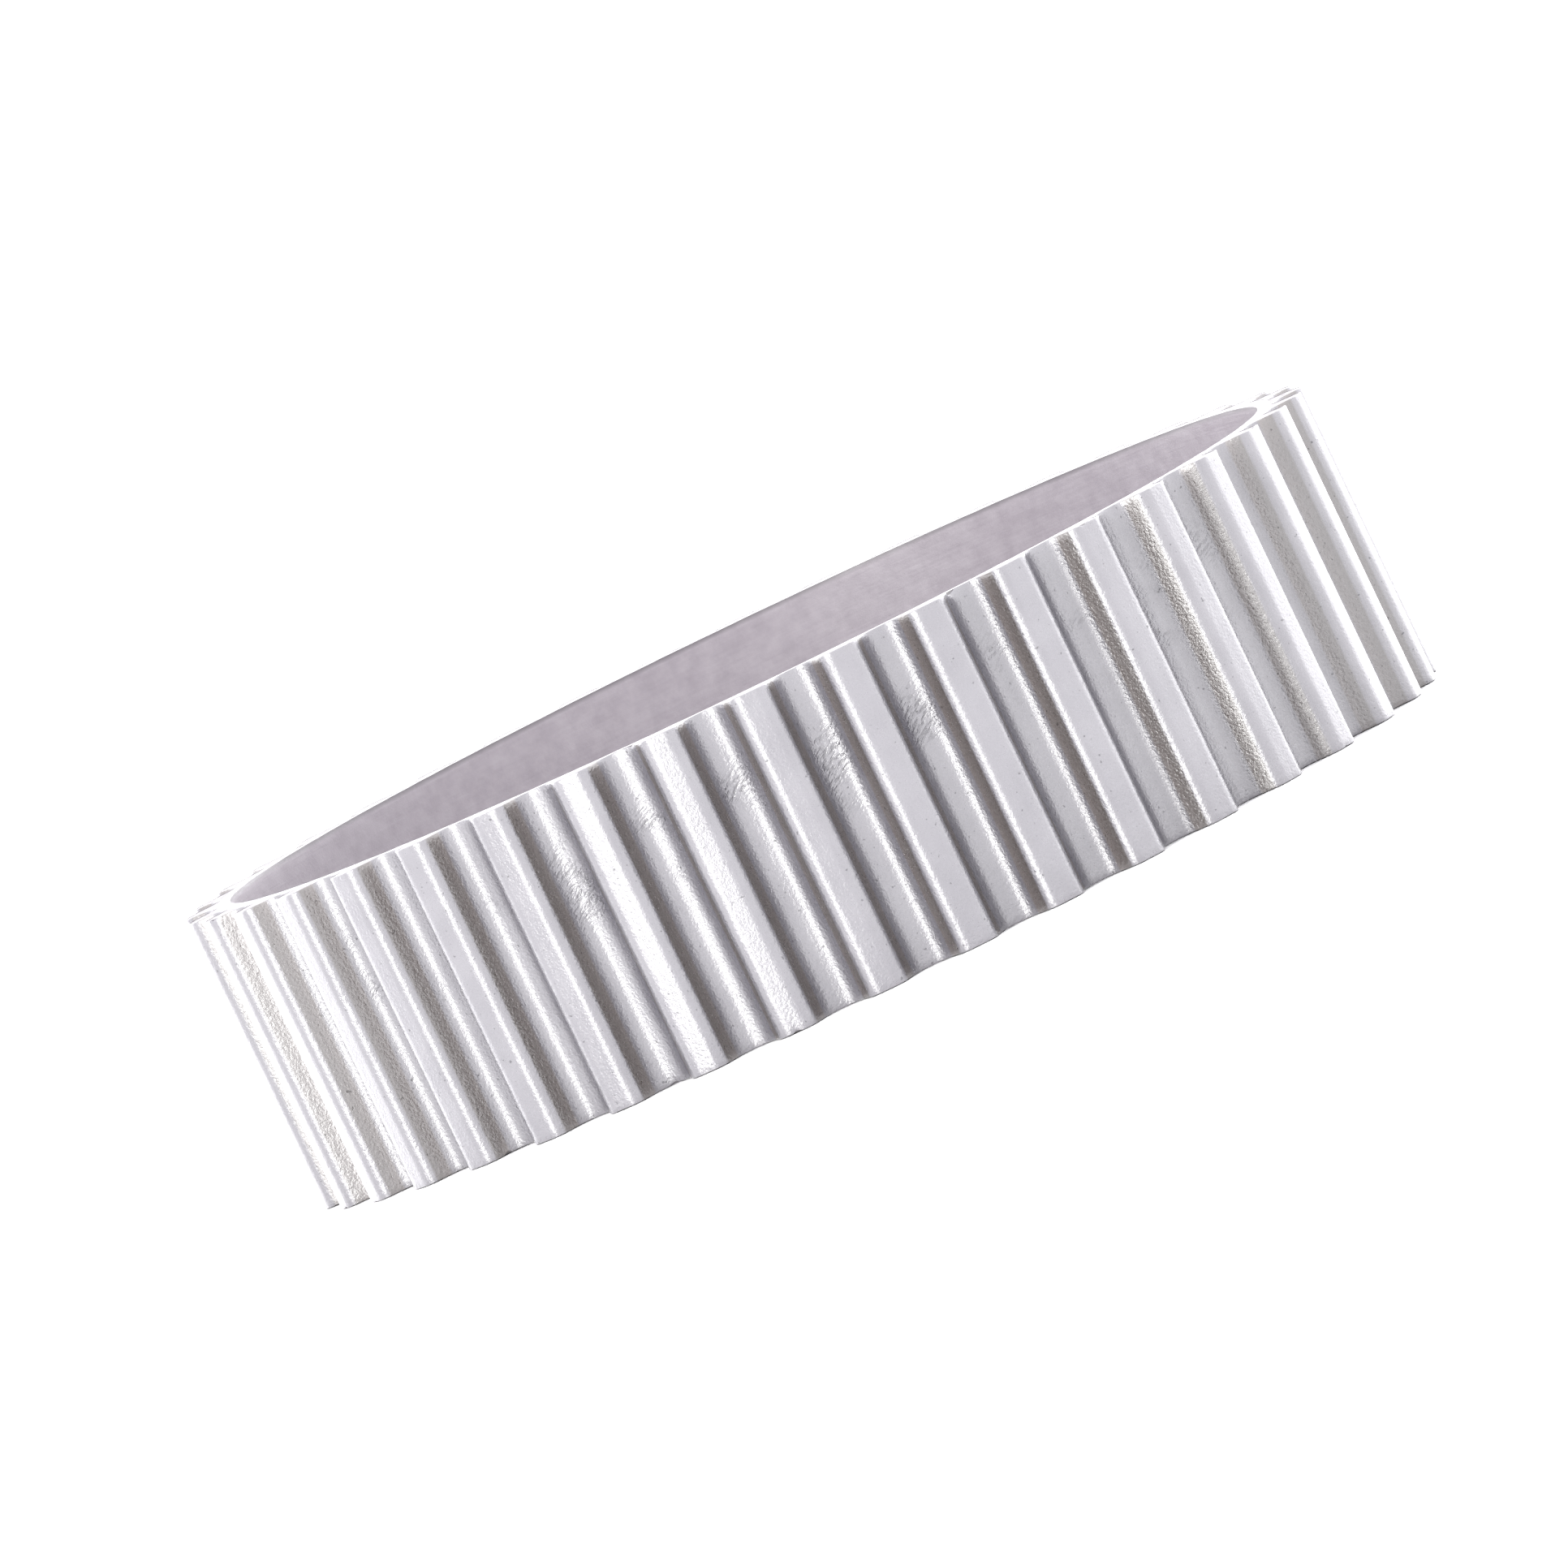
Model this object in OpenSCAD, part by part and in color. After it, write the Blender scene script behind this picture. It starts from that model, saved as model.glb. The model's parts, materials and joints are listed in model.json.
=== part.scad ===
// Endless timing belt, standing on one of its cut edges, with the loop's axis along +Z.
// The teeth are on the outside of the loop and the inside is smooth.
// The belt is a bonded composite: backing rubber, two tension cords wound side by side,
// a moulding with all the teeth, and a thin fabric facing over the teeth.
// The origin is the centre of the loop, at the edge that the belt stands on.

/* [Belt] */
// Number of teeth round the loop
tooth_count = 40; // [32:4:80]
// Distance from tooth to tooth, along the line of the cords
tooth_pitch = 5; // [4.9:0.1:5.4]
// Width of the belt, from cut edge to cut edge
belt_w = 17.3; // [8:0.1:30]

/* [Tooth] */
// Height of a tooth above the floor of the gullet
tooth_h = 1.8; // [1.5:0.05:1.8]
// Width of the flat on the crest, between the shoulder arcs
crest_w = 0.8; // [0.6:0.02:0.82]
// Angle of each flank to the tooth's centre line
flank_angle = 22; // [20:1:24]
// Radius of the two shoulders of the crest
shoulder_r = 0.8; // [0.6:0.05:0.8]
// Radius of the concave arc at the foot of each flank
root_r = 1.15; // [0.9:0.05:1.15]

/* [Layers] */
// Thickness of the belt under the gullets, from the smooth face to the gullet floor
web_t = 0.95; // [0.9:0.05:1.4]
// Distance of the cords' centres below the gullet floor
cord_depth = 0.35; // [0.35:0.01:0.45]
// Thickness of the fabric facing
facing_t = 0.12; // [0.08:0.01:0.12]

/* [Tension cords] */
// Diameter of each cord
cord_d = 0.28; // [0.16:0.02:0.28]
// Distance between neighbouring turns, across the belt
cord_spacing = 0.7; // [0.6:0.05:1.2]
// Least rubber left between the outermost turn and the cut edge
edge_margin = 0.3; // [0.3:0.05:1]

/* [Hidden] */

// Segments of a full circle on the faces that are true cylinders and rings
circle_fn = 180;
// A buried cord needs no true round section, so it has this many flat sides
cord_sides = 8;
// Straight steps along each shoulder arc and each root arc
shoulder_steps = 5;
root_steps = 5;

// Radii of the layers, worked out from the line of the cords
cord_r = tooth_count * tooth_pitch / (2 * PI);
land_r = cord_r + cord_depth;
tip_r = land_r + tooth_h;
inner_r = land_r - web_t;
// The backing ends between the tops of the cords and the back of the facing
backing_r = (cord_r + cord_d / 2 + land_r - facing_t) / 2;
tooth_step = 360 / tooth_count;

// Turns of cord across the belt. S-twist and Z-twist turns alternate.
turn_room = belt_w - 2 * edge_margin - cord_d;
turn_count = 1 + floor(turn_room / cord_spacing);
first_turn_z = (belt_w - (turn_count - 1) * cord_spacing) / 2;

// One half of a tooth, with the tooth's middle along +Y and the loop's centre at the origin.
// The shoulder arc's centre:
shoulder_centre = [crest_w / 2, tip_r - shoulder_r];
// Directions square to the right flank and down along it:
flank_out = [cos(flank_angle), sin(flank_angle)];
flank_down = [sin(flank_angle), -cos(flank_angle)];
// The root arc touches both the flank and the gullet floor. Its centre lies on a line parallel to
// the flank, where that line is root_r above the floor.
root_line = shoulder_centre + (shoulder_r + root_r) * flank_out;
root_reach = land_r + root_r;
along = root_line * flank_down;
flank_length = -along - sqrt(along * along - root_line * root_line + root_reach * root_reach);
root_centre = root_line + flank_length * flank_down;
// Direction, from the root arc's centre, of the point where the arc meets the gullet floor
floor_angle = 180 + atan2(root_centre.y, root_centre.x);
flank_foot_angle = 180 + flank_angle;

function arc(centre, r, from, to, steps) =
    [for (i = [0:steps]) let (a = from + (to - from) * i / steps) centre + r * [cos(a), sin(a)]];

// Right half of a tooth from crest to gullet floor, with the whole outline moved inwards by skin
function half_tooth(skin) = concat(
    arc(shoulder_centre, shoulder_r - skin, 90, flank_angle, shoulder_steps),
    arc(root_centre, root_r + skin, flank_foot_angle, floor_angle, root_steps)
);

function mirrored(points) = [for (i = [len(points) - 1:-1:0]) [-points[i].x, points[i].y]];

function turned(p, a) = [p.x * cos(a) + p.y * sin(a), p.y * cos(a) - p.x * sin(a)];

// The whole toothed outline, tooth by tooth, clockwise from +Y
function toothed_outline(skin) = [
    for (tooth = [0:tooth_count - 1])
        for (p = concat(mirrored(half_tooth(skin)), half_tooth(skin)))
            turned(p, tooth * tooth_step)
];

// A flat ring between two radii
module flat_ring(inside, outside) {
    difference() {
        circle(r = outside, $fn = circle_fn);
        circle(r = inside, $fn = circle_fn);
    }
}

// Closed rings that stand for the turns of one cord: every second turn, from turn number first
module cord_turns(first) {
    for (turn = [first:2:turn_count - 1])
        translate([0, 0, first_turn_z + turn * cord_spacing])
            rotate_extrude($fn = circle_fn)
                translate([cord_r, 0])
                    circle(d = cord_d, $fn = cord_sides);
}

// Smooth inner wall of the loop, with the cords buried in its outer half
module backing() {
    color([0.42, 0.40, 0.42])
        difference() {
            linear_extrude(height = belt_w)
                flat_ring(inner_r, backing_r);
            cord_turns(0);
            cord_turns(1);
        }
}

module tension_cord_s() {
    color([0.90, 0.88, 0.82])
        cord_turns(0);
}

module tension_cord_z() {
    color([0.80, 0.78, 0.70])
        cord_turns(1);
}

// One moulding with all the teeth, from the backing out to the back of the facing
module tooth_rubber() {
    color([0.34, 0.32, 0.33])
        linear_extrude(height = belt_w)
            difference() {
                polygon(toothed_outline(facing_t));
                circle(r = backing_r, $fn = circle_fn);
            }
}

// Thin fabric that follows crests, flanks and gullets
module tooth_facing() {
    color([0.62, 0.60, 0.62])
        linear_extrude(height = belt_w)
            difference() {
                polygon(toothed_outline(0));
                polygon(toothed_outline(facing_t));
            }
}

backing();
tension_cord_s();
tension_cord_z();
tooth_rubber();
tooth_facing();
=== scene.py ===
# %% [markdown]
# # A timing belt, standing on its cut edge
#
# A timing belt is an endless loop of rubber with moulded teeth. This one has rounded trapezoidal
# teeth on the outside of the loop and a smooth inside. Under the skin it is a composite: a thin
# woven facing over the teeth, the tooth rubber, two tension cords wound side by side, and the
# backing rubber that buries them.
#
# The packed CAD model gives the sizes, so this script starts by loading it. Each CAD node could keep
# its own mesh and only get a material. Here every layer is meshed again instead, because a moulded
# and sliced belt has softened edges, knife marks and small waves that a CAD solid doesn't have.

# %% Load the CAD frame
import json
import math
import random
import bpy
from mathutils import Matrix, Vector, noise


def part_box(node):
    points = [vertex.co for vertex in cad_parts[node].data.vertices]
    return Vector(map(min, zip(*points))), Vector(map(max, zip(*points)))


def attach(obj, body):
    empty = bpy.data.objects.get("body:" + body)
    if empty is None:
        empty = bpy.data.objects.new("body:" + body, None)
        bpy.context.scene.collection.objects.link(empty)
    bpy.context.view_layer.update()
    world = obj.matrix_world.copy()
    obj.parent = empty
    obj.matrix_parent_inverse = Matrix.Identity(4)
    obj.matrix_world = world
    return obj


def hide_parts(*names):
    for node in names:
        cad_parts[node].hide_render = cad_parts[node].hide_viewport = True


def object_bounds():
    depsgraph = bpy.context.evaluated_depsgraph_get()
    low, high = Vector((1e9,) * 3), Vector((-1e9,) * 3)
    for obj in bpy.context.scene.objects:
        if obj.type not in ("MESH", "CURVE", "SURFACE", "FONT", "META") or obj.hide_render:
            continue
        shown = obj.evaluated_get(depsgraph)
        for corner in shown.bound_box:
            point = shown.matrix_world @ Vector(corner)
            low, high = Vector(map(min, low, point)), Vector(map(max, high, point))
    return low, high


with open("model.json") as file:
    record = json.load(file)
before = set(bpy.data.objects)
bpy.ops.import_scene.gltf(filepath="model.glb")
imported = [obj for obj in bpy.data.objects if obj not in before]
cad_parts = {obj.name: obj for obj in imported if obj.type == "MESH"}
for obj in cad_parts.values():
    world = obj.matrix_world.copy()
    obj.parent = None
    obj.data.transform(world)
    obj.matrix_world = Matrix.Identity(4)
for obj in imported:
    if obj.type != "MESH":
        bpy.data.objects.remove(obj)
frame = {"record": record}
cad_low, cad_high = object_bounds()
print("CAD box in mm:", [round((h - l) * 1000, 2) for l, h in zip(cad_low, cad_high)])

# %% [markdown]
# ## Reading the layers off the frame
#
# The radii come from the boxes of the nodes, so the meshes below fit the CAD layers without any
# numbers typed twice. Only what a box can't tell, such as the tooth's angles and arcs, is repeated
# here. Lengths are written in millimetres where they are small, and multiplied by MM.

# %% Layer radii and tooth sizes
MM = 0.001


def reach(node):
    """Outer radius of a ring-shaped node."""
    low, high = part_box(node)
    return (high[0] - low[0]) / 2


BELT_WIDTH = cad_high[2] - cad_low[2]
TIP_RADIUS = reach("tooth_facing")
BACKING_RADIUS = reach("backing")
CORD_RADIUS = 0.14 * MM
CORD_LINE_RADIUS = reach("tension_cord_s") - CORD_RADIUS
smooth_bore = next(m for m in frame["record"]["mounts"] if m["name"] == "smooth_bore")
INNER_RADIUS = smooth_bore["dims"]["r_mm"] * MM

TOOTH_COUNT = 40
TOOTH_HEIGHT = 1.8 * MM
CREST_FLAT = 0.8 * MM
FLANK_ANGLE = math.radians(22)
SHOULDER_RADIUS = 0.8 * MM
ROOT_RADIUS = 1.15 * MM
FACING_THICKNESS = 0.12 * MM
LAND_RADIUS = TIP_RADIUS - TOOTH_HEIGHT
TOOTH_STEP = math.tau / TOOTH_COUNT
print(f"tips {TIP_RADIUS / MM:.3f}, lands {LAND_RADIUS / MM:.3f}, cords {CORD_LINE_RADIUS / MM:.3f},"
      f" inside {INNER_RADIUS / MM:.3f}, width {BELT_WIDTH / MM:.2f} mm")

# %% [markdown]
# ## The camera
#
# The belt is seen almost edge-on: a long lens, four degrees above the middle of the loop, so that
# the far inner wall shows as a thin crescent. The camera is rolled, so the loop climbs to the right.
# A roll is simpler and safer than tilting the object, which has to stay in its CAD place.

# %% Place the camera
VIEW_AZIMUTH = math.radians(1.15)
VIEW_ELEVATION = math.radians(3.99)
VIEW_DISTANCE = 719 * MM
VIEW_LENS = 300.5
VIEW_ROLL = math.radians(-25.64)
# The loop's middle sits a little right of and below the middle of the picture, as shares of its width
FRAMING_RIGHT = 0.0170
FRAMING_DOWN = 0.0068


def from_azimuth(azimuth, elevation=0.0):
    """Unit vector towards a viewer at this azimuth: 0 is -Y, and positive turns to +X."""
    level = math.cos(elevation)
    return Vector((math.sin(azimuth) * level, -math.cos(azimuth) * level, math.sin(elevation)))


belt_middle = Vector((0, 0, BELT_WIDTH / 2))
camera_data = bpy.data.cameras.new("camera")
camera_data.lens = VIEW_LENS
camera_data.clip_start = 0.01
camera_data.clip_end = 20
camera = bpy.data.objects.new("camera", camera_data)
bpy.context.scene.collection.objects.link(camera)
bpy.context.scene.camera = camera
towards_camera = from_azimuth(VIEW_AZIMUTH, VIEW_ELEVATION)
camera.location = belt_middle + towards_camera * VIEW_DISTANCE
roll = Matrix.Rotation(VIEW_ROLL, 4, "Z")
rolled_view = (-towards_camera).to_track_quat("-Z", "Y").to_matrix().to_4x4() @ roll
picture_width = VIEW_DISTANCE * camera_data.sensor_width / VIEW_LENS
shift_right = rolled_view @ Vector((1, 0, 0)) * (-FRAMING_RIGHT * picture_width)
shift_up = rolled_view @ Vector((0, 1, 0)) * (FRAMING_DOWN * picture_width)
aim = belt_middle + shift_right + shift_up
aimed_view = (aim - camera.location).to_track_quat("-Z", "Y").to_matrix().to_4x4()
camera.rotation_mode = "QUATERNION"
camera.rotation_quaternion = (aimed_view @ roll).to_quaternion()
print(f"picture is {picture_width / MM:.1f} mm wide at the belt")

# %% [markdown]
# ## The studio
#
# Rubber is nearly black, and it only looks pale grey when it is photographed very brightly: most of
# what the camera sees is the studio mirrored in a satin surface. So the tent around the belt is set
# far brighter than white, and the rubber itself is kept dark. That is what gives the real look. The
# background burns out to pure white, the crests mirror the tent, and the flanks go dark because
# they mirror the next tooth. A paler rubber in weaker light would lose that contrast.
#
# The camera looks down, so each upright face mirrors something just below the horizon. The floor is
# polished acrylic for that reason: it hands the image of every lamp on to the belt.

# %% Build the tent and the floor
scene = bpy.context.scene
scene.view_settings.view_transform = "Standard"
TENT_COLOUR = (0.985, 0.975, 1.0, 1.0)
TENT_BRIGHTNESS = 4.9

world = bpy.data.worlds.new("white_tent")
world.use_nodes = True
tent = world.node_tree.nodes["Background"]
tent.inputs["Color"].default_value = TENT_COLOUR
tent.inputs["Strength"].default_value = TENT_BRIGHTNESS
scene.world = world

FLOOR_HALF = 3.0
FLOOR_GAP = 0.02 * MM
FLOOR_POLISH = 0.06
FLOOR_WHITE = (0.92, 0.92, 0.92, 1)
floor_mesh = bpy.data.meshes.new("floor")
floor_corners = [(-FLOOR_HALF, -FLOOR_HALF, 0), (FLOOR_HALF, -FLOOR_HALF, 0),
                 (FLOOR_HALF, FLOOR_HALF, 0), (-FLOOR_HALF, FLOOR_HALF, 0)]
floor_mesh.from_pydata(floor_corners, [], [(0, 1, 2, 3)])
floor = bpy.data.objects.new("floor", floor_mesh)
floor.location.z = -FLOOR_GAP
scene.collection.objects.link(floor)
floor_paint = bpy.data.materials.new("floor_paint")
floor_paint.use_nodes = True
floor_shader = floor_paint.node_tree.nodes["Principled BSDF"]
floor_shader.inputs["Base Color"].default_value = FLOOR_WHITE
floor_shader.inputs["Roughness"].default_value = FLOOR_POLISH
floor_mesh.materials.append(floor_paint)
print(f"the tent is {TENT_BRIGHTNESS} times as bright as white")

# %% [markdown]
# ## Soft boxes
#
# A narrow, very bright strip left of the camera draws the line on every shoulder and in every
# gullet. A wide, weak box on the right opens up the flanks that face it. Three more boxes stand
# behind the belt's sides and lift the ends of the loop. Each is a rectangular light that faces the
# middle of the belt, 20 degrees up. Its strength is given as the brightness of its face, because
# that is what the rubber mirrors. The boxes are hidden from the camera.

# %% Hang the soft boxes
BOX_ELEVATION = math.radians(20)
NEUTRAL = (1.0, 0.99, 0.97)
COOL = (0.98, 0.98, 1.0)


def soft_box(name, azimuth, distance, width, height, radiance, colour):
    """A rectangular area light facing the belt's middle. radiance is how bright its face looks."""
    data = bpy.data.lights.new(name, "AREA")
    data.shape = "RECTANGLE"
    data.size = width
    data.size_y = height
    data.energy = radiance * math.pi * width * height
    data.color = colour
    lamp = bpy.data.objects.new(name, data)
    out = from_azimuth(math.radians(azimuth), BOX_ELEVATION)
    lamp.location = belt_middle + out * distance
    lamp.rotation_mode = "QUATERNION"
    lamp.rotation_quaternion = (-out).to_track_quat("-Z", "Y")
    lamp.visible_camera = False
    scene.collection.objects.link(lamp)


soft_box("left_strip", -31, 0.60, 0.19, 0.42, 26.0, NEUTRAL)
soft_box("right_front", 62, 0.80, 0.80, 0.55, 0.9, COOL)
soft_box("left_wing", -118, 0.80, 0.45, 0.55, 4.5, COOL)
soft_box("right_wing", 108, 0.80, 0.60, 0.60, 3.8, COOL)
soft_box("right_back", 146, 0.80, 0.60, 0.60, 4.5, COOL)

# %% [markdown]
# ## One tooth as a formula
#
# A tooth could be drawn by hand as a curve, but its outline is only arcs and straight lines: a flat
# crest, a rounded shoulder, a straight flank, and a concave root arc that runs out on the gullet
# floor. Working it out keeps the shoulder and root centres fixed when the outline is moved inwards
# by the facing's thickness, so both faces of the facing stay parallel. Each point also carries the
# direction that is outwards there.

# %% Work out the toothed outline
SHOULDER_STEPS = 6
ROOT_STEPS = 6
CREST_STEPS = 3
LAND_STEPS = 2
FLANK_STEPS = 2

shoulder_centre = Vector((CREST_FLAT / 2, TIP_RADIUS - SHOULDER_RADIUS))
flank_out = Vector((math.cos(FLANK_ANGLE), math.sin(FLANK_ANGLE)))
flank_down = Vector((math.sin(FLANK_ANGLE), -math.cos(FLANK_ANGLE)))
root_line = shoulder_centre + (SHOULDER_RADIUS + ROOT_RADIUS) * flank_out
root_reach = LAND_RADIUS + ROOT_RADIUS
along = root_line.dot(flank_down)
flank_length = -along - math.sqrt(along ** 2 - root_line.length_squared + root_reach ** 2)
root_centre = root_line + flank_length * flank_down
root_end = math.pi + math.atan2(root_centre.y, root_centre.x)


def steps_between(a, b, steps):
    """Evenly spaced values from a to b, both ends included."""
    return [a + (b - a) * i / steps for i in range(steps + 1)]


def half_tooth(skin):
    """Points and outward directions from the crest's middle to the gullet's, moved inwards by skin."""
    line = []
    for x in steps_between(0, CREST_FLAT / 2, CREST_STEPS)[:-1]:
        line.append((Vector((x, TIP_RADIUS - skin)), Vector((0, 1))))
    for angle in steps_between(math.pi / 2, FLANK_ANGLE, SHOULDER_STEPS):
        out = Vector((math.cos(angle), math.sin(angle)))
        line.append((shoulder_centre + (SHOULDER_RADIUS - skin) * out, out))
    flank_top = line[-1][0]
    for down in steps_between(0, flank_length, FLANK_STEPS)[1:-1]:
        line.append((flank_top + flank_down * down, flank_out))
    for angle in steps_between(math.pi + FLANK_ANGLE, root_end, ROOT_STEPS):
        away = Vector((math.cos(angle), math.sin(angle)))
        line.append((root_centre + (ROOT_RADIUS + skin) * away, -away))
    floor_start = math.atan2(root_centre.x, root_centre.y)
    for angle in steps_between(floor_start, TOOTH_STEP / 2, LAND_STEPS)[1:]:
        out = Vector((math.sin(angle), math.cos(angle)))
        line.append((out * (LAND_RADIUS - skin), out))
    return line


def toothed_outline(skin=0.0):
    """The whole loop as (point, outward direction) pairs, with a crest facing each axis."""
    right = half_tooth(skin)
    left = [(Vector((-p.x, p.y)), Vector((-n.x, n.y))) for p, n in reversed(right[1:])]
    tooth = left + right[:-1]
    outline = []
    for number in range(TOOTH_COUNT):
        turn = Matrix.Rotation(-number * TOOTH_STEP, 2)
        outline += [(turn @ p, turn @ n) for p, n in tooth]
    return outline


facing_outline = toothed_outline()
print(f"{len(facing_outline)} points round the loop, flank {flank_length / MM:.2f} mm long")

# %% [markdown]
# ## A layer's cross-section
#
# Every layer of the belt is a ring with a closed cross-section. A point of it is given by its share
# of the way from the layer's outer to its inner line, and its height, so one cross-section serves a
# toothed layer as well as a plain one. The rim's corners can be rounded, as handling does.

# %% Lay out a cross-section
CORNER_ANGLES = (0, 30, 60, 90)


def cross_section(rows, cut_steps, inner_rows, outer_round, inner_round, thickness):
    """Closed list of (share, height) pairs: up the outside, over the top, down the inside and back."""
    def corner(radius, at_outside):
        points = []
        for angle in CORNER_ANGLES:
            sink = radius * (1 - math.cos(math.radians(angle))) / thickness
            rise = BELT_WIDTH - radius + radius * math.sin(math.radians(angle))
            points.append((sink if at_outside else 1 - sink, rise))
        return points

    up = [(0, z) for z in steps_between(outer_round, BELT_WIDTH - outer_round, rows)[1:-1]]
    outer_top = corner(outer_round, True) if outer_round else [(0, BELT_WIDTH)]
    inner_top = corner(inner_round, False)[::-1] if inner_round else [(1, BELT_WIDTH)]
    first, last = outer_top[-1][0], inner_top[0][0]
    over = [(share, BELT_WIDTH) for share in steps_between(first, last, cut_steps)[1:-1]]
    down = [(1, z) for z in steps_between(BELT_WIDTH - inner_round, inner_round, inner_rows)[1:-1]]
    half = outer_top + over + inner_top
    bottom = [(share, BELT_WIDTH - z) for share, z in reversed(half)]
    return up + half + down + bottom


print(f"a rim's corner is rounded in {len(CORNER_ANGLES) - 1} steps")

# %% [markdown]
# ## Weaving a ring of quads
#
# Cutting the teeth out of a cylinder would leave long thin faces that can't carry small waves. Each
# ring is woven directly instead: one column of points per outline point, and one row per point of
# the cross-section. Three measures ride on the points for the materials: how deep a point lies in a
# gullet, how steeply the surface falls there, and whether the knife cut it. A UV map holds the
# unrolled belt in millimetres, so that a pattern runs round the loop without a seam.

# %% Weave a ring
# The cut faces are unrolled as if every layer were this thick
UNROLLED_THICKNESS = 1 * MM
# A point this close to a rim counts as cut
ON_THE_CUT = 0.001 * MM


def weave_ring(name, outside, inside, section, shift):
    """A closed ring between two matching outlines. shift moves each finished point a little."""
    mesh = bpy.data.meshes.new(name)
    columns, rows = len(outside), len(section)
    points, depths, falls, cuts = [], [], [], []
    for (outer, out), inner in zip(outside, inside):
        depth = (TIP_RADIUS - outer.length) / TOOTH_HEIGHT
        fall = 1 - out.dot(outer.normalized())
        for share, height in section:
            flat = outer.lerp(inner, share)
            point = Vector((flat.x, flat.y, height))
            points.append(point + shift(point, Vector((out.x, out.y, 0)), share))
            depths.append(depth)
            falls.append(fall)
            cuts.append(1.0 if min(height, BELT_WIDTH - height) < ON_THE_CUT else 0.0)
    faces = []
    for c in range(columns):
        for r in range(rows):
            c2, r2 = (c + 1) % columns, (r + 1) % rows
            faces.append((c * rows + r, c * rows + r2, c2 * rows + r2, c2 * rows + r))
    mesh.from_pydata(points, [], faces)
    for measure, values in (("gullet_depth", depths), ("steepness", falls), ("sliced", cuts)):
        mesh.attributes.new(measure, "FLOAT", "POINT").data.foreach_set("value", values)
    unroll(mesh, outside, section)
    mesh.polygons.foreach_set("use_smooth", [True] * len(mesh.polygons))
    ring = bpy.data.objects.new(name, mesh)
    scene.collection.objects.link(ring)
    return ring


def unroll(mesh, outside, section):
    """A UV map of the unrolled belt in millimetres: along the loop, then over the cross-section."""
    columns, rows = len(outside), len(section)
    around = [0.0]
    for (a, _), (b, _) in zip(outside, outside[1:] + outside[:1]):
        around.append(around[-1] + (b - a).length / MM)
    over = [0.0]
    for (share1, height1), (share2, height2) in zip(section, section[1:] + section[:1]):
        through = (share2 - share1) * UNROLLED_THICKNESS
        over.append(over[-1] + math.hypot(through, height2 - height1) / MM)
    uv = mesh.uv_layers.new(name="unrolled").data
    corner = 0
    for c in range(columns):
        for r in range(rows):
            for cc, rr in ((c, r), (c, r + 1), (c + 1, r + 1), (c + 1, r)):
                uv[corner].uv = (around[cc], over[rr])
                corner += 1


print(f"the cut faces are unrolled {UNROLLED_THICKNESS / MM:.0f} mm deep")

# %% [markdown]
# ## Small irregularities
#
# A real belt is moulded on a toothed drum and then sliced by a knife, so its moulded faces wave by a
# few thousandths of a millimetre, its cut faces by a few hundredths, and its cut corners carry nicks.
# The waves come from smooth noise at two scales. Nicks are placed once, from a seeded generator, and
# press the rim inwards where they sit. Everything moves inwards, so the belt keeps its CAD size.

# %% Waves, knife marks and nicks
dice = random.Random(40)
# How far each wave reaches inwards, and how long it is
CREST_WAVE = 0.003 * MM
CREST_WAVE_LENGTH = 2.4 * MM
FINE_WAVE = 0.003 * MM
FINE_WAVE_LENGTH = 0.5 * MM
CUT_WAVE = 0.035 * MM
CUT_WAVE_LENGTH = 1.1 * MM
CUT_RIPPLE_LENGTH = 0.25 * MM
# The share of a cut's roughness that comes from the longer wave
CUT_WAVE_SHARE = 0.6
CUT_EDGE_WIDTH = 0.5 * MM
# The facing's back is glued to the rubber, so waves stop short of it
OUTER_SHARE = 0.9
NICK_COUNT = 90
NICK_SIZES = (0.15 * MM, 0.42 * MM)
# Depth of a nick as a share of its size, and how much of it also goes inwards
NICK_DEPTHS = (0.2, 0.55)
NICK_INWARDS = 0.5


def smooth_wave(point, length):
    """Smooth noise between 0 and 1 whose waves are about this long."""
    return 0.5 + 0.5 * noise.noise(point / length)


def scatter_nicks():
    """Nicks along both rims: where they are, how wide and how deep."""
    nicks = []
    for _ in range(NICK_COUNT):
        angle = dice.uniform(0, math.tau)
        height = dice.choice((0, BELT_WIDTH))
        radius = dice.uniform(*NICK_SIZES)
        place = Vector((math.sin(angle), math.cos(angle), 0)) * dice.uniform(LAND_RADIUS, TIP_RADIUS)
        nicks.append((place + Vector((0, 0, height)), radius, dice.uniform(*NICK_DEPTHS) * radius))
    return nicks


nicks = scatter_nicks()


def near_cut(point):
    """1 at a cut edge, falling to 0 at CUT_EDGE_WIDTH from it."""
    distance = min(point.z, BELT_WIDTH - point.z)
    return max(0.0, 1 - distance / CUT_EDGE_WIDTH)


def knife_shift(point):
    """How far the knife left this point of the rim inside the nominal cut."""
    wave = smooth_wave(point, CUT_WAVE_LENGTH)
    ripple = smooth_wave(point, CUT_RIPPLE_LENGTH)
    amount = CUT_WAVE * (CUT_WAVE_SHARE * wave + (1 - CUT_WAVE_SHARE) * ripple)
    return amount if point.z < BELT_WIDTH / 2 else -amount


def facing_shift(point, out, share):
    """Moves a point of the facing: waves on the outside, knife marks and nicks at the rims."""
    move = Vector((0, 0, 0))
    if share < OUTER_SHARE:
        wave = CREST_WAVE * smooth_wave(point, CREST_WAVE_LENGTH)
        fine = FINE_WAVE * smooth_wave(point, FINE_WAVE_LENGTH)
        move -= out * (wave + fine)
    edge = near_cut(point)
    if edge:
        move.z += knife_shift(point) * edge
        for place, radius, depth in nicks:
            gap = (point - place).length
            if gap < radius:
                press = depth * (1 - (gap / radius) ** 2)
                move -= out * press * NICK_INWARDS
                move.z += press if point.z < BELT_WIDTH / 2 else -press
    return move


print(f"{len(nicks)} nicks, the deepest {max(n[2] for n in nicks) / MM:.2f} mm")

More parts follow.
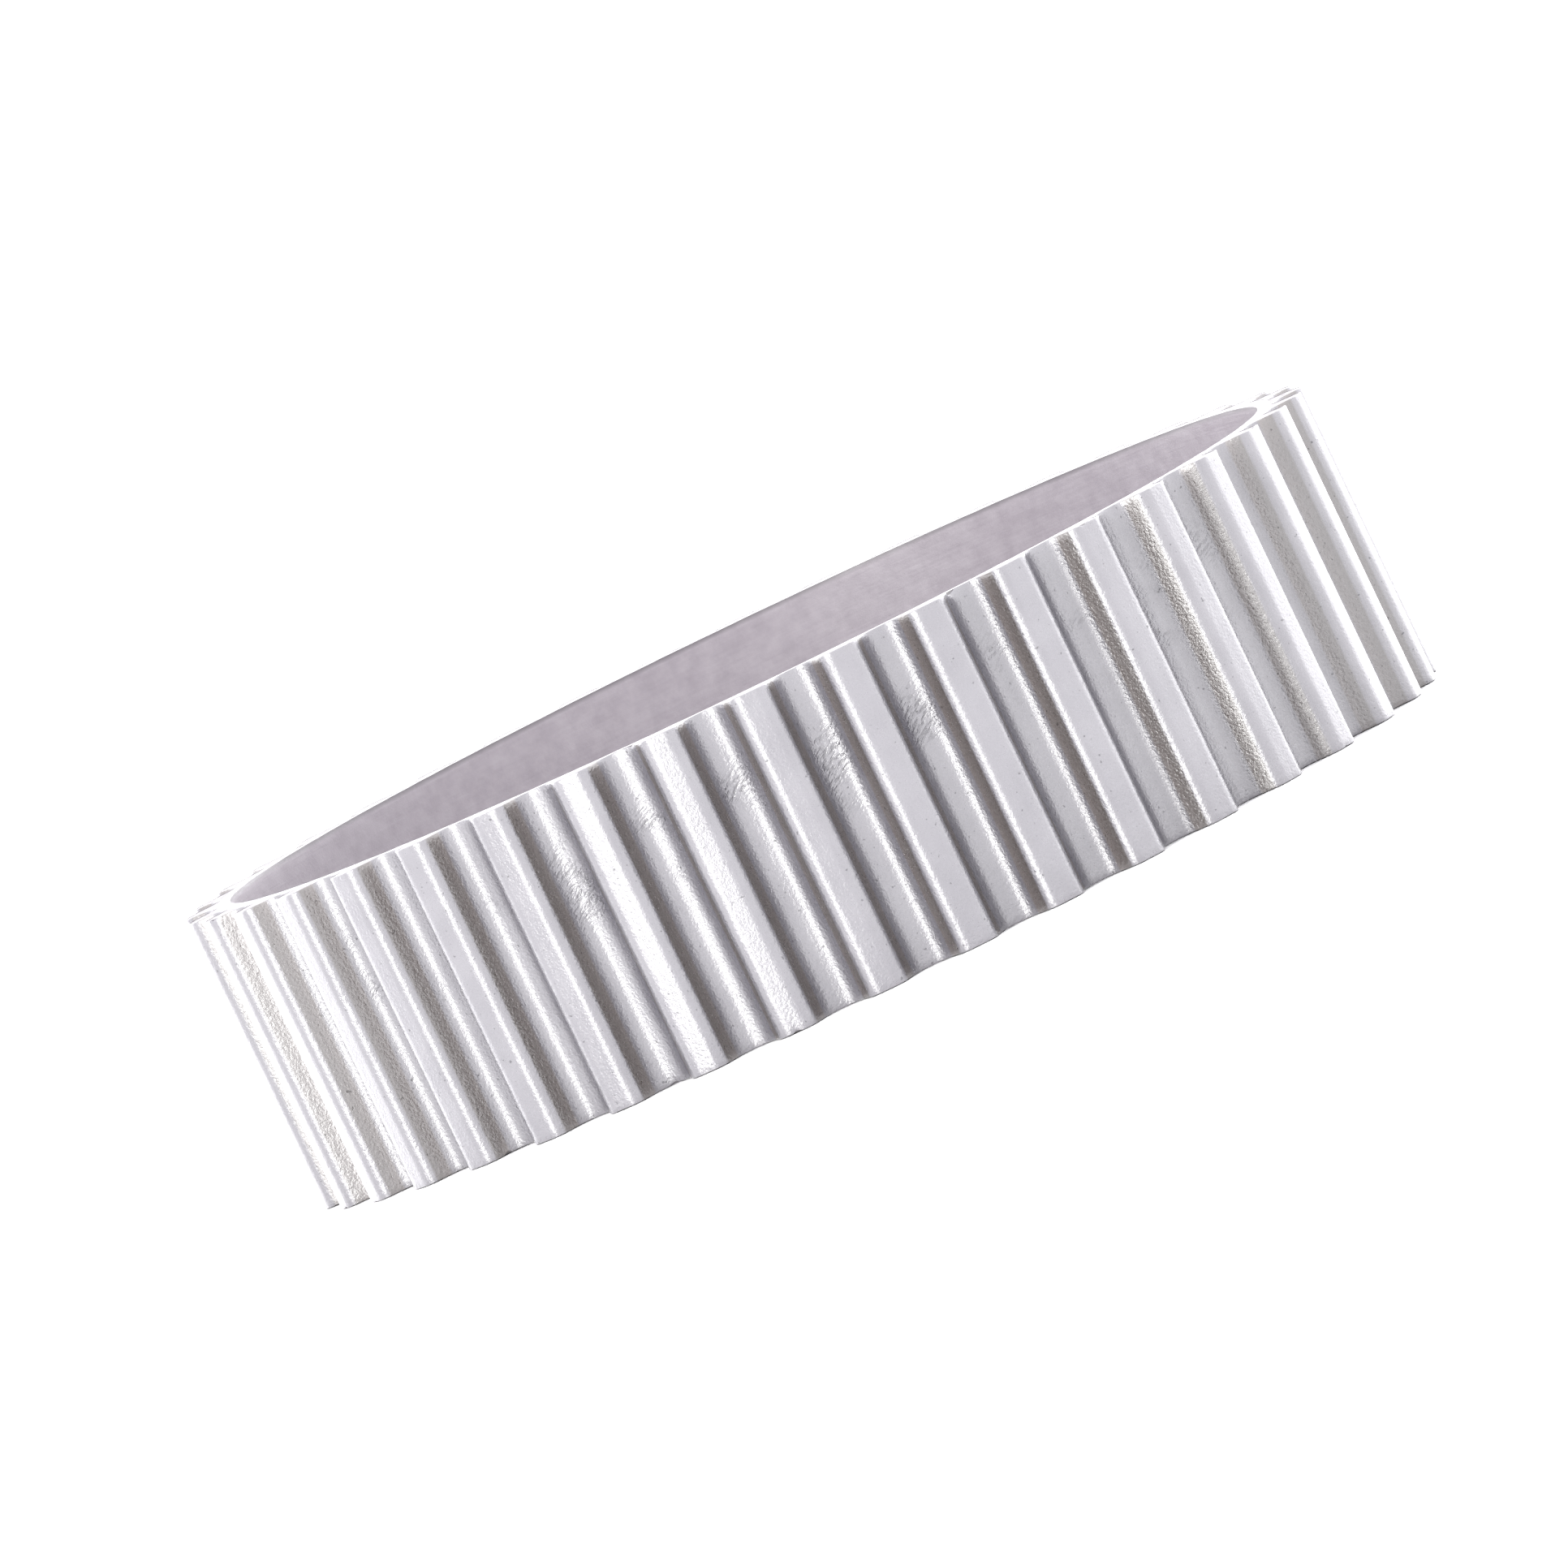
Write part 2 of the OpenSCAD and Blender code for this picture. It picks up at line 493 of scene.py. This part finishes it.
# %% [markdown]
# ## The tooth facing
#
# The facing is a woven nylon fabric, moulded over the teeth, in a dark grey. It is one continuous
# skin. A Solidify modifier on an open sheet would give it thickness too, but then the cut edge and
# the nicks couldn't be shaped, so it is woven as a closed ring like the other layers.

# %% Weave the facing
FABRIC_CORNER = 0.05 * MM
facing_back = [p for p, n in toothed_outline(FACING_THICKNESS)]
facing_section = cross_section(rows=50, cut_steps=2, inner_rows=2, outer_round=FABRIC_CORNER,
                               inner_round=0, thickness=FACING_THICKNESS)
facing = weave_ring("woven_facing", facing_outline, facing_back, facing_section, facing_shift)
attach(facing, "root")
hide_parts("tooth_facing")
print(f"facing: {len(facing.data.polygons)} faces")

# %% [markdown]
# ## The tooth rubber
#
# All the teeth are one moulding. Only its two cut faces show, as the paler filling between the
# facing's dark cut edge and the backing. The knife leaves the soft rubber a little lower than the
# fabric, which is what makes the layers readable on a real cut edge.

# %% Weave the tooth rubber
RUBBER_SINK = 0.02 * MM


def sliced_shift(point, out, share):
    """Moves a point of the cut rubber: knife marks, and slightly below the fabric's edge."""
    edge = near_cut(point)
    if not edge:
        return Vector((0, 0, 0))
    sink = RUBBER_SINK if point.z < BELT_WIDTH / 2 else -RUBBER_SINK
    return Vector((0, 0, (knife_shift(point) + sink) * edge))


rubber_outline = toothed_outline(FACING_THICKNESS)
backing_edge = [p.normalized() * BACKING_RADIUS for p, n in rubber_outline]
rubber_section = cross_section(rows=4, cut_steps=8, inner_rows=4, outer_round=0,
                               inner_round=0, thickness=TOOTH_HEIGHT)
rubber = weave_ring("moulded_teeth", rubber_outline, backing_edge, rubber_section, sliced_shift)
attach(rubber, "root")
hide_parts("tooth_rubber")
print(f"tooth rubber: {len(rubber.data.polygons)} faces")

# %% [markdown]
# ## The backing
#
# The smooth inside of the loop is ground to thickness, which leaves a satin face with faint marks
# along the belt. Its inner corners are slightly rounded by handling.

# %% Weave the backing
BACKING_COLUMNS = 720
GRINDING_WAVE = 0.012 * MM
GRINDING_WAVE_LENGTH = 3.5 * MM
INNER_CORNER = 0.02 * MM


def backing_shift(point, out, share):
    """Moves a point of the backing: knife marks at the rims, and shallow waves on the smooth face."""
    move = sliced_shift(point, out, share)
    on_smooth_side = share > 0.5
    if on_smooth_side:
        move += out * GRINDING_WAVE * smooth_wave(point, GRINDING_WAVE_LENGTH)
    return move


around_loop = [Vector((math.sin(a), math.cos(a))) for a in
               (math.tau * i / BACKING_COLUMNS for i in range(BACKING_COLUMNS))]
backing_outer = [(out * BACKING_RADIUS, out) for out in around_loop]
backing_inner = [out * INNER_RADIUS for out in around_loop]
backing_section = cross_section(rows=4, cut_steps=6, inner_rows=40, outer_round=0,
                                inner_round=INNER_CORNER, thickness=BACKING_RADIUS - INNER_RADIUS)
backing = weave_ring("smooth_backing", backing_outer, backing_inner, backing_section, backing_shift)
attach(backing, "root")
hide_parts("backing")
print(f"backing: {len(backing.data.polygons)} faces")

# %% [markdown]
# ## The tension cords
#
# Two cords carry the pull. They are wound side by side along the sleeve that the belt is sliced
# from, so each is one long helix, and one is twisted to the left and the other to the right, which
# keeps the belt from creeping sideways on its pulleys. The knife cuts through a cord wherever it
# reaches a rim. Here each cord stops just short of the rim instead, so that it stays sealed in.

# %% Wind the cords
CORD_TURNS = 12
CORD_SPACING = 0.7 * MM
CORD_LEAD = 2 * CORD_SPACING
CORD_SIDES = 10
STEPS_PER_TURN = 120
YARNS = 3
YARN_DEPTH = 0.03 * MM
# The rubber left over a cord's end
CORD_COVER = 0.05 * MM
TWIST_STEPS = 8


def wind_cord(name, start_height, hand):
    """One cord as a helix, kept just inside both rims. hand is +1 or -1, which way it is twisted."""
    lowest = CORD_RADIUS + CORD_COVER
    highest = BELT_WIDTH - lowest
    points, faces = [], []
    for i in range(CORD_TURNS * STEPS_PER_TURN + 1):
        height = start_height + CORD_LEAD * i / STEPS_PER_TURN
        if not lowest <= height <= highest:
            continue
        turn = math.tau * i / STEPS_PER_TURN
        out = Vector((math.sin(turn), -math.cos(turn), 0))
        centre = out * CORD_LINE_RADIUS + Vector((0, 0, height))
        for side in range(CORD_SIDES):
            angle = math.tau * side / CORD_SIDES
            yarn = math.cos(YARNS * angle + hand * i * math.tau / TWIST_STEPS)
            radius = CORD_RADIUS - YARN_DEPTH * (0.5 + 0.5 * yarn)
            up = Vector((0, 0, radius * math.sin(angle)))
            points.append(centre + out * radius * math.cos(angle) + up)
    last = len(points) - CORD_SIDES
    for a in range(0, last, CORD_SIDES):
        b = a + CORD_SIDES
        for side in range(CORD_SIDES):
            nxt = (side + 1) % CORD_SIDES
            faces.append((a + side, b + side, b + nxt, a + nxt))
    faces.append(tuple(range(CORD_SIDES)))
    faces.append(tuple(reversed(range(last, last + CORD_SIDES))))
    mesh = bpy.data.meshes.new(name)
    mesh.from_pydata(points, [], faces)
    mesh.polygons.foreach_set("use_smooth", [True] * len(mesh.polygons))
    cord = bpy.data.objects.new(name, mesh)
    scene.collection.objects.link(cord)
    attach(cord, "root")
    return cord


middle_span = (CORD_TURNS * 2 - 1) * CORD_SPACING
first_height = (BELT_WIDTH - middle_span) / 2 - CORD_LEAD / 2
cord_s = wind_cord("cord_s_twist", first_height, 1)
cord_z = wind_cord("cord_z_twist", first_height + CORD_SPACING, -1)
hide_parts("tension_cord_s")
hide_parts("tension_cord_z")
cord_turns = len(cord_s.data.vertices) / CORD_SIDES / STEPS_PER_TURN
cord_length = cord_turns * math.tau * CORD_LINE_RADIUS
print(f"each cord makes {cord_turns:.1f} turns, {cord_length:.2f} m in all")

# %% [markdown]
# ## A helper for materials
#
# Every finish below is made of nodes: a base colour, a pattern or two, and bump. Written out one
# node at a time that is long and hard to follow, so Paint adds a node, sets its values and joins it
# in one call. The patterns are sized in millimetres of the real belt.

# %% Helpers for node materials
class Paint:
    """A node material with a Principled shader, and short ways to add and join nodes."""

    def __init__(self, name, roughness, specular):
        self.material = bpy.data.materials.new(name)
        self.material.use_nodes = True
        self.tree = self.material.node_tree
        self.shader = self.tree.nodes["Principled BSDF"]
        self.shader.inputs["Roughness"].default_value = roughness
        self.shader.inputs["Specular IOR Level"].default_value = specular

    def node(self, kind, settings=None, values=None):
        """Adds a node, sets its properties, and sets or links its inputs."""
        made = self.tree.nodes.new(kind)
        for key, value in (settings or {}).items():
            setattr(made, key, value)
        for key, value in (values or {}).items():
            if isinstance(value, bpy.types.NodeSocket):
                self.tree.links.new(value, made.inputs[key])
            else:
                made.inputs[key].default_value = value
        return made

    def millimetres(self):
        """Object coordinates in millimetres."""
        values = {0: self.node("ShaderNodeTexCoord").outputs["Object"], "Scale": 1 / MM}
        return self.node("ShaderNodeVectorMath", {"operation": "SCALE"}, values).outputs[0]

    def unrolled(self):
        """The unrolled belt, in millimetres."""
        return self.node("ShaderNodeUVMap", {"uv_map": "unrolled"}).outputs[0]

    def height(self):
        """Height above the floor, in millimetres."""
        return self.node("ShaderNodeSeparateXYZ", None, {0: self.millimetres()}).outputs["Z"]

    def stretched(self, vector, turn, scale):
        """Coordinates that stretch a pattern by scale and then turn it about Z."""
        values = {"Vector": vector, "Rotation": (0, 0, turn), "Scale": scale}
        return self.node("ShaderNodeMapping", {"vector_type": "TEXTURE"}, values).outputs[0]

    def attribute(self, name):
        """A measure that was stored on the points."""
        return self.node("ShaderNodeAttribute", {"attribute_name": name}).outputs["Fac"]

    def noise(self, vector, size, detail=3.0, roughness=0.5):
        """Noise whose blotches are about size millimetres wide."""
        values = {"Vector": vector, "Scale": 1 / size, "Detail": detail, "Roughness": roughness}
        return self.node("ShaderNodeTexNoise", None, values).outputs["Fac"]

    def fit(self, value, low, high, to_low, to_high):
        """Maps low..high to to_low..to_high and stops at both ends."""
        values = {"Value": value, "From Min": low, "From Max": high, "To Min": to_low, "To Max": to_high}
        return self.node("ShaderNodeMapRange", {"clamp": True}, values).outputs[0]

    def math(self, operation, a, b):
        """One sum, product or the like of two values."""
        return self.node("ShaderNodeMath", {"operation": operation}, {0: a, 1: b}).outputs[0]

    def product(self, first, *others):
        """All the values multiplied together."""
        for other in others:
            first = self.math("MULTIPLY", first, other)
        return first

    def grey(self, value):
        """A grey of this brightness."""
        return self.node("ShaderNodeCombineColor", None, {0: value, 1: value, 2: value}).outputs[0]

    def mix(self, factor, a, b, blend_type="MIX"):
        """Mixes two colours."""
        made = self.node("ShaderNodeMix", {"data_type": "RGBA", "blend_type": blend_type})
        for socket, value in ((0, factor), (6, a), (7, b)):
            if isinstance(value, bpy.types.NodeSocket):
                self.tree.links.new(value, made.inputs[socket])
            else:
                made.inputs[socket].default_value = value
        return made.outputs[2]

    def bump(self, height, distance, strength=1.0, normal=None):
        """Relief from a pattern, on top of an earlier relief if one is given."""
        values = {"Height": height, "Distance": distance, "Strength": strength}
        if normal is not None:
            values["Normal"] = normal
        return self.node("ShaderNodeBump", None, values).outputs[0]

    def connect(self, **sockets):
        """Joins outputs to the shader's sockets of the same names."""
        for name, output in sockets.items():
            self.tree.links.new(output, self.shader.inputs[name.replace("_", " ")])


print("Paint can make:", ", ".join(m for m in vars(Paint) if not m.startswith("_")))

# %% [markdown]
# ## The facing's fabric
#
# The facing starts from a dark grey with soft blotches a millimetre or two wide. A fine grain drives
# its roughness and its relief together, so that they agree. Crests, shoulders and gullets keep that
# cool grey. The steep flanks get painted shade instead: a brown, darkest just under the shoulder,
# that stands in for the shade between neighbouring teeth. The gullets also carry scuffed patches with
# slanted wrinkles, and there are a few small pits. One even colour would be simpler, but then the
# flanks would come out too pale beside the crests.

# %% The facing's fabric
# Colours are linear. Pattern sizes and heights are in millimetres.
CREST_GREY = (0.046, 0.044, 0.050, 1)
BLOTCH_GREY = (0.038, 0.036, 0.042, 1)
BLOTCH_SIZE = 2.2
GRAIN_SIZE = 0.16
SMOOTH_ROUGHNESS = 0.26
GRAINY_ROUGHNESS = 0.38
# Steepness where the painted flank shade starts and where it is full: 1 - cos of the slope
FLANK_SHADE_START = 0.46
FLANK_SHADE_END = 0.61
# The straight flank lies between these shares of the gullet's depth, and its painted shade pales down it
FLANK_TOP_DEPTH = 0.28
FLANK_FOOT_DEPTH = 0.66
# Painted shade on the steep flanks: darkest at the top, just under the shoulder, paler at the foot
FLANK_TOP_SHADE = (0.016, 0.012, 0.010, 1)
FLANK_FOOT_SHADE = (0.039, 0.032, 0.029, 1)
# The fabric's own cut edge is a fine dark line round every tooth
CUT_EDGE_GREY = (0.035, 0.030, 0.037, 1)
CUT_EDGE_SPECULAR = 0.05
PIT_SIZE = 0.25
PIT_DARKNESS = 0.55
SCUFF_PATCH_SIZE = 3.5
SCUFF_SLANT = math.radians(-30)
SCUFF_WRINKLE = (0.5, 0.16, 1)
SCUFF_DARKNESS = 0.7
SCUFF_LOW = 8.5
SCUFF_HIGH = 15.0
SCUFF_FADE = 2.0


def scuff_marks(paint, place, depth):
    """Slanted wrinkles in patches, only deep in the gullets and only round the middle of the width."""
    above = paint.fit(paint.height(), SCUFF_LOW, SCUFF_LOW + SCUFF_FADE, 0, 1)
    below = paint.fit(paint.height(), SCUFF_HIGH - SCUFF_FADE, SCUFF_HIGH, 1, 0)
    patch = paint.fit(paint.noise(place, SCUFF_PATCH_SIZE, 2), 0.47, 0.58, 0, 1)
    deep = paint.fit(depth, 0.7, 0.95, 0, 1)
    slanted = paint.stretched(paint.unrolled(), SCUFF_SLANT, SCUFF_WRINKLE)
    wrinkle = paint.fit(paint.noise(slanted, 1, 2), 0.45, 0.62, 0, 1)
    return paint.product(above, below, patch, deep, wrinkle)


def facing_fabric():
    """Dark satin fabric with painted shade on the steep flanks, grain, small pits, and scuffed patches
    in the gullets.
    """
    paint = Paint("facing_fabric", 0.35, 1.0)
    place = paint.millimetres()
    depth = paint.attribute("gullet_depth")
    # Painted shade on the steep flanks grows with steepness and changes only their colour
    painted_shade = paint.fit(paint.attribute("steepness"), FLANK_SHADE_START, FLANK_SHADE_END, 0, 1)
    cut = paint.fit(paint.attribute("sliced"), 0.6, 1.0, 0, 1)
    scuff = scuff_marks(paint, place, depth)

    blotch = paint.fit(paint.noise(place, BLOTCH_SIZE, 4), 0.38, 0.66, 0, 1)
    grain = paint.noise(place, GRAIN_SIZE, 2, 0.6)
    unshaded_tone = paint.mix(blotch, CREST_GREY, BLOTCH_GREY)
    down_the_flank = paint.fit(depth, FLANK_TOP_DEPTH, FLANK_FOOT_DEPTH, 0, 1)
    flank = paint.mix(down_the_flank, FLANK_TOP_SHADE, FLANK_FOOT_SHADE)
    pit = paint.fit(paint.noise(place, PIT_SIZE, 1), 0.72, 0.78, 1, PIT_DARKNESS)
    worn = paint.math("MULTIPLY", pit, paint.fit(scuff, 0, 1, 1, SCUFF_DARKNESS))
    colour = paint.mix(1.0, paint.mix(painted_shade, unshaded_tone, flank), paint.grey(worn), "MULTIPLY")
    colour = paint.mix(cut, colour, CUT_EDGE_GREY)

    relief = paint.bump(grain, 0.03 * MM, 0.9)
    relief = paint.bump(scuff, -0.03 * MM, 0.8, relief)
    relief = paint.bump(pit, 0.02 * MM, 0.5, relief)
    rough = paint.fit(grain, 0.3, 0.7, SMOOTH_ROUGHNESS, GRAINY_ROUGHNESS)
    specular = paint.math("MULTIPLY", worn, paint.fit(cut, 0, 1, 1, CUT_EDGE_SPECULAR))
    paint.connect(Base_Color=colour, Roughness=rough, Specular_IOR_Level=specular, Normal=relief)
    return paint.material


print(f"flanks turn dull between {FLANK_SHADE_START} and {FLANK_SHADE_END} of steepness")

# %% [markdown]
# ## The rubber of the teeth and the backing
#
# Both rubbers share one recipe: soft blotches, a fine grain, and faint streaks along the belt from
# the moulding drum or the grinding wheel. A knife cut has no streaks, only grain. Seen edge-on the
# rim still reads as a bright line, because at such a shallow angle it mirrors the tent. Just under
# the upper rim the side face carries a thin band of painted shade that darkens towards the rim.

# %% The rubber of the teeth and the backing
RUBBER_SPECULAR = 0.25
RUBBER_BLOTCH_SIZE = 1.1
RUBBER_GRAIN_SIZE = 0.2
# Streaks are long round the loop and narrow across it
STREAK = (4.0, 0.17, 1)
STREAK_SHARE = 0.4
ROUGHNESS_SPREAD = 0.07
SLICED_DARK = (0.045, 0.042, 0.044, 1)
SLICED_PALE = (0.090, 0.086, 0.088, 1)
# The band of painted shade lies between these heights, just under the upper rim
RIM_SHADE_START = BELT_WIDTH / MM - 0.35
RIM_SHADE_END = BELT_WIDTH / MM - 0.08
RIM_SHADE_DARKNESS = 0.45


def rubber_paint(name, dark, pale, roughness):
    """Ground or moulded rubber with faint marks along the belt, and plain grain where it was cut."""
    paint = Paint(name, roughness, RUBBER_SPECULAR)
    place = paint.millimetres()
    cut = paint.fit(paint.attribute("sliced"), 0.6, 1.0, 0, 1)
    blotch = paint.fit(paint.noise(place, RUBBER_BLOTCH_SIZE, 5, 0.6), 0.36, 0.68, 0, 1)
    grain = paint.noise(place, RUBBER_GRAIN_SIZE, 3, 0.6)
    # Painted shade: the side face darkens just under the upper rim
    rim_shade = paint.fit(paint.height(), RIM_SHADE_START, RIM_SHADE_END, 1, RIM_SHADE_DARKNESS)
    streak = paint.noise(paint.stretched(paint.unrolled(), 0, STREAK), 1, 3)
    blotches = paint.math("MULTIPLY", blotch, 1 - STREAK_SHARE)
    tone = paint.math("ADD", blotches, paint.math("MULTIPLY", streak, STREAK_SHARE))
    side = paint.mix(1.0, paint.mix(tone, dark, pale), paint.grey(rim_shade), "MULTIPLY")
    colour = paint.mix(cut, side, paint.mix(grain, SLICED_DARK, SLICED_PALE))
    relief = paint.bump(grain, 0.02 * MM, 0.4)
    relief = paint.bump(streak, 0.02 * MM, 0.35, relief)
    rough = paint.fit(streak, 0.3, 0.7, roughness - ROUGHNESS_SPREAD, roughness + ROUGHNESS_SPREAD)
    paint.connect(Base_Color=colour, Roughness=rough, Normal=relief)
    return paint.material


print("cut rubber runs from", SLICED_DARK[:3], "to", SLICED_PALE[:3])

# %% [markdown]
# ## The cords' fibre, and who wears what
#
# The cords are glass fibre dipped in adhesive, a dull straw colour. They are sealed in the rubber, so
# only a sliced end would ever show, and a fine fibre noise is enough. The S and Z cords differ a
# little in tone, so that they can be told apart when the belt is opened up. The inner wall is paler
# than the teeth, because it was ground.

# %% The cords' fibre, and the materials put on
TOOTH_RUBBER_GREYS = ((0.060, 0.056, 0.055, 1), (0.100, 0.096, 0.096, 1))
BACKING_GREYS = ((0.080, 0.071, 0.080, 1), (0.108, 0.099, 0.108, 1))
FIBRE_SIZE = 0.08
TOOTH_ROUGHNESS = 0.55
BACKING_ROUGHNESS = 0.42
CORD_S_COLOURS = ((0.28, 0.25, 0.19, 1), (0.18, 0.15, 0.10, 1))
CORD_Z_COLOURS = ((0.25, 0.23, 0.18, 1), (0.16, 0.14, 0.10, 1))


def cord_fibre(name, pale, deep):
    """Dipped fibre: fine speckle between two straw tones."""
    paint = Paint(name, 0.5, 0.5)
    fibre = paint.noise(paint.millimetres(), FIBRE_SIZE, 3)
    colour = paint.mix(paint.fit(fibre, 0.35, 0.65, 0, 1), deep, pale)
    paint.connect(Base_Color=colour, Normal=paint.bump(fibre, 0.02 * MM, 0.5))
    return paint.material


facing.data.materials.append(facing_fabric())
rubber.data.materials.append(rubber_paint("tooth_rubber", *TOOTH_RUBBER_GREYS, TOOTH_ROUGHNESS))
backing.data.materials.append(rubber_paint("backing_rubber", *BACKING_GREYS, BACKING_ROUGHNESS))
cord_s.data.materials.append(cord_fibre("cord_s", *CORD_S_COLOURS))
cord_z.data.materials.append(cord_fibre("cord_z", *CORD_Z_COLOURS))
print("materials:", [m.name for m in bpy.data.materials if not m.name.startswith("floor")])
